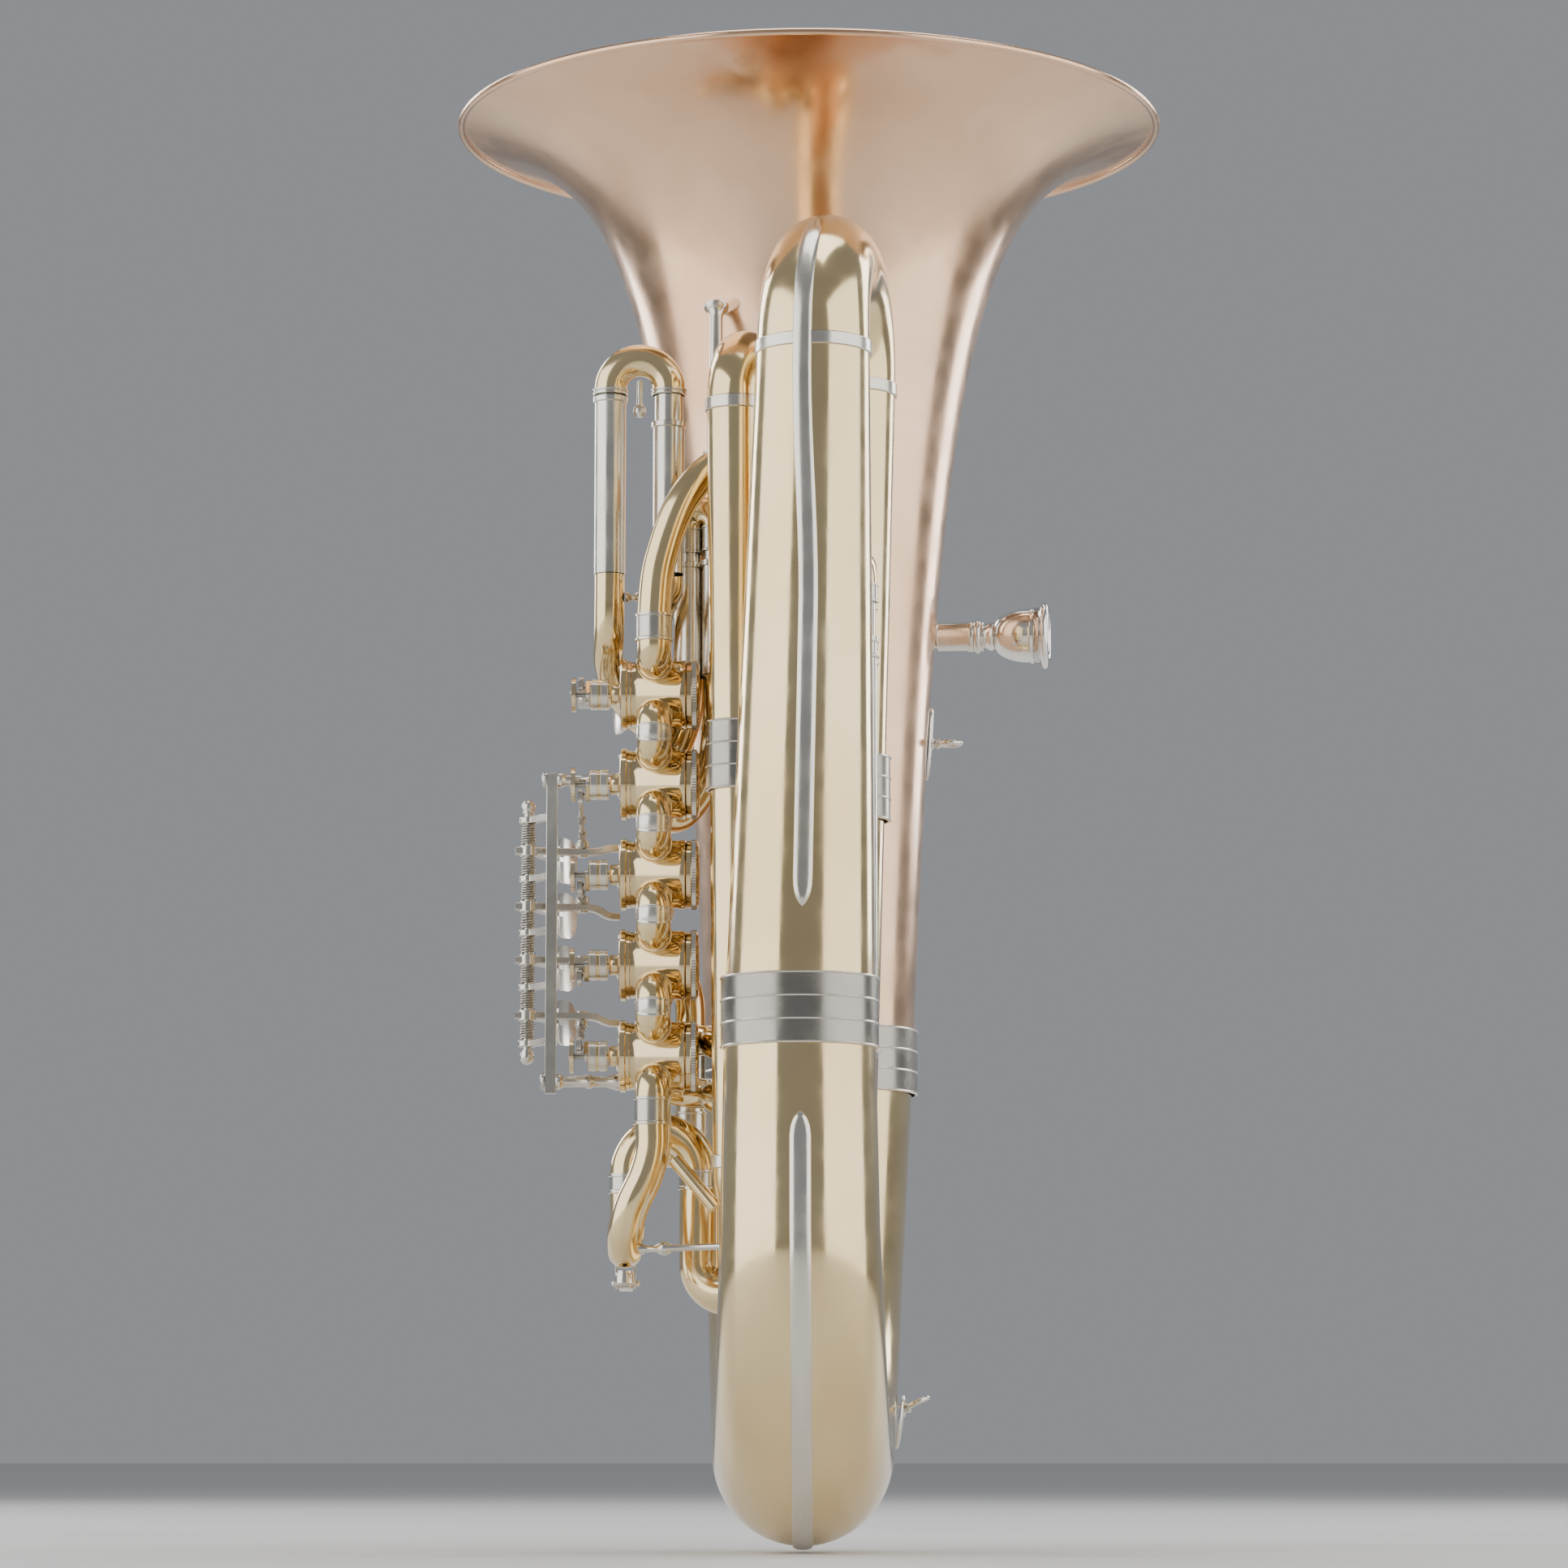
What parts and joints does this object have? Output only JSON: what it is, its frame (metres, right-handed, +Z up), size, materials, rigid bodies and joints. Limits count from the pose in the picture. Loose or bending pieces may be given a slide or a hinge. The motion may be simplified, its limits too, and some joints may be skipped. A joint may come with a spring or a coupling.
{
  "type": "euphonium",
  "caption": "Oval bell-up euphonium with five rotary valves, side levers on a hinge rod, five tuning slides, strap rings, guard strips, a water key and a pull-out mouthpiece.",
  "frame": {"origin": "middle of the underside of the bounding box, below the bottom bow", "axes": "+Z up towards the bell rim, +X towards the player (mouthpiece side), +Y from the outer branch towards the bell"},
  "size_m": [0.336, 0.3942, 0.6721],
  "materials": {
    "yellow_brass": "lacquered, polished",
    "gold_brass": "lacquered gold brass, polished",
    "casing_brass": "turned and polished",
    "nickel": "nickel silver, lacquered",
    "silver": "silver plate",
    "spring": "drawn wire",
    "rotor_brass": "ground bearing surface"
  },
  "bodies": {
    "horn": {"bell": "gold_brass", "rim_wire": "gold_brass", "bell_ferrule": "nickel", "bottom_bow": "yellow_brass", "bow_ferrule": "nickel", "outer_branch": "yellow_brass", "top_bow": "yellow_brass", "player_branch": "yellow_brass", "return_bow": "yellow_brass", "front_branch": "yellow_brass", "front_top_bow": "yellow_brass", "inner_branch": "yellow_brass", "inner_bow": "yellow_brass", "branch_ferrules": "nickel", "outlet_tube": "yellow_brass", "tube_ferrules": "nickel", "leadpipe": "yellow_brass", "mouthpiece_receiver": "nickel", "guard_strips": "nickel", "casing_1": "casing_brass", "casing_2": "casing_brass", "casing_3": "casing_brass", "casing_4": "casing_brass", "casing_5": "casing_brass", "valve_caps": "nickel", "crooks": "yellow_brass", "crook_ferrules": "nickel", "lever_springs": "spring", "hinge_rod": "nickel", "carriage_bar": "nickel", "carriage_posts": "nickel", "carriage_screws": "nickel", "slide_sleeves": "nickel", "valve_tubing": "yellow_brass", "strap_rings": "nickel", "stays": "yellow_brass", "water_key_mount": "nickel", "thumb_lever_mount": "nickel"},
    "rotor_1": {"rotor_1": "rotor_brass"},
    "lever_1": {"lever_1": "nickel"},
    "link_1": {"link_1": "nickel"},
    "slide_1": {"slide_1": "yellow_brass"},
    "rotor_2": {"rotor_2": "rotor_brass"},
    "lever_2": {"lever_2": "nickel"},
    "link_2": {"link_2": "nickel"},
    "slide_2": {"slide_2": "yellow_brass"},
    "rotor_3": {"rotor_3": "rotor_brass"},
    "lever_3": {"lever_3": "nickel"},
    "link_3": {"link_3": "nickel"},
    "slide_3": {"slide_3": "yellow_brass"},
    "rotor_4": {"rotor_4": "rotor_brass"},
    "lever_4": {"lever_4": "nickel"},
    "link_4": {"link_4": "nickel"},
    "slide_4": {"slide_4": "yellow_brass"},
    "rotor_5": {"rotor_5": "rotor_brass"},
    "thumb_lever": {"thumb_lever": "nickel"},
    "link_5": {"link_5": "nickel"},
    "slide_5": {"slide_5": "yellow_brass"},
    "mouthpiece": {"mouthpiece": "silver"},
    "water_key": {"water_key": "nickel"}
  },
  "joints": [
    {"name": "rotor_1_turn", "type": "hinge", "parent": "horn", "child": "rotor_1", "pos_m": [-0.0697, -0.061, 0.342], "axis": [1, 0, 0], "range_deg": [-90, 0]},
    {"name": "rotor_2_turn", "type": "hinge", "parent": "horn", "child": "rotor_2", "pos_m": [-0.0697, -0.061, 0.301], "axis": [1, 0, 0], "range_deg": [-90, 0]},
    {"name": "rotor_3_turn", "type": "hinge", "parent": "horn", "child": "rotor_3", "pos_m": [-0.0697, -0.061, 0.26], "axis": [1, 0, 0], "range_deg": [-90, 0]},
    {"name": "rotor_4_turn", "type": "hinge", "parent": "horn", "child": "rotor_4", "pos_m": [-0.0697, -0.061, 0.219], "axis": [1, 0, 0], "range_deg": [0, 90]},
    {"name": "rotor_5_turn", "type": "hinge", "parent": "horn", "child": "rotor_5", "pos_m": [-0.0697, -0.061, 0.383], "axis": [1, 0, 0], "range_deg": [0, 90]},
    {"name": "lever_1_press", "type": "hinge", "parent": "horn", "child": "lever_1", "pos_m": [-0.1285, -0.034, 0.315], "axis": [0, 0, 1], "range_deg": [-20, 0], "stiffness_Nm_per_rad": 0.02},
    {"name": "link_1_swing", "type": "hinge", "parent": "lever_1", "child": "link_1", "pos_m": [-0.1039, -0.02966, 0.315], "axis": [0, 0, 1], "range_deg": [0, 20]},
    {"name": "lever_2_press", "type": "hinge", "parent": "horn", "child": "lever_2", "pos_m": [-0.1285, -0.034, 0.2895], "axis": [0, 0, 1], "range_deg": [-20, 0], "stiffness_Nm_per_rad": 0.02},
    {"name": "link_2_swing", "type": "hinge", "parent": "lever_2", "child": "link_2", "pos_m": [-0.1039, -0.02966, 0.2895], "axis": [0, 0, 1], "range_deg": [0, 20]},
    {"name": "lever_3_press", "type": "hinge", "parent": "horn", "child": "lever_3", "pos_m": [-0.1285, -0.034, 0.265], "axis": [0, 0, 1], "range_deg": [-20, 0], "stiffness_Nm_per_rad": 0.02},
    {"name": "link_3_swing", "type": "hinge", "parent": "lever_3", "child": "link_3", "pos_m": [-0.1039, -0.02966, 0.265], "axis": [0, 0, 1], "range_deg": [0, 20]},
    {"name": "lever_4_press", "type": "hinge", "parent": "horn", "child": "lever_4", "pos_m": [-0.1285, -0.034, 0.2397], "axis": [0, 0, 1], "range_deg": [-20, 0], "stiffness_Nm_per_rad": 0.02},
    {"name": "link_4_swing", "type": "hinge", "parent": "lever_4", "child": "link_4", "pos_m": [-0.1039, -0.02966, 0.2397], "axis": [0, 0, 1], "range_deg": [0, 20]},
    {"name": "thumb_lever_press", "type": "hinge", "parent": "horn", "child": "thumb_lever", "pos_m": [-0.0793, -0.012, 0.3867], "axis": [0, 0, 1], "range_deg": [0, 20], "stiffness_Nm_per_rad": 0.02},
    {"name": "link_5_swing", "type": "hinge", "parent": "thumb_lever", "child": "link_5", "pos_m": [-0.1039, -0.00766, 0.3867], "axis": [0, 0, 1], "range_deg": [-20, 0]},
    {"name": "slide_1_pull", "type": "slide", "parent": "horn", "child": "slide_1", "axis": [0, 0, 1], "range_m": [0, 0.045]},
    {"name": "slide_2_pull", "type": "slide", "parent": "horn", "child": "slide_2", "axis": [0, 1, 0], "range_m": [0, 0.016]},
    {"name": "slide_3_pull", "type": "slide", "parent": "horn", "child": "slide_3", "axis": [0, 0, -1], "range_m": [0, 0.025]},
    {"name": "slide_4_pull", "type": "slide", "parent": "horn", "child": "slide_4", "axis": [0, 0, 1], "range_m": [0, 0.09]},
    {"name": "slide_5_pull", "type": "slide", "parent": "horn", "child": "slide_5", "axis": [0, 0, 1], "range_m": [0, 0.06]},
    {"name": "mouthpiece_pull", "type": "slide", "parent": "horn", "child": "mouthpiece", "axis": [0.9945, -0.1045, 0], "range_m": [0, 0.02]},
    {"name": "water_key_press", "type": "hinge", "parent": "horn", "child": "water_key", "pos_m": [-0.0825, -0.057, 0.1175], "axis": [1, 0, 0], "range_deg": [0, 12], "stiffness_Nm_per_rad": 0.02}
  ],
  "couplings": [
    {"joint": "lever_1_press", "follows": "rotor_1_turn", "ratio": 0.2222},
    {"joint": "link_1_swing", "follows": "rotor_1_turn", "ratio": -0.2222},
    {"joint": "lever_2_press", "follows": "rotor_2_turn", "ratio": 0.2222},
    {"joint": "link_2_swing", "follows": "rotor_2_turn", "ratio": -0.2222},
    {"joint": "lever_3_press", "follows": "rotor_3_turn", "ratio": 0.2222},
    {"joint": "link_3_swing", "follows": "rotor_3_turn", "ratio": -0.2222},
    {"joint": "lever_4_press", "follows": "rotor_4_turn", "ratio": -0.2222},
    {"joint": "link_4_swing", "follows": "rotor_4_turn", "ratio": 0.2222},
    {"joint": "thumb_lever_press", "follows": "rotor_5_turn", "ratio": 0.2222},
    {"joint": "link_5_swing", "follows": "rotor_5_turn", "ratio": -0.2222}
  ]
}
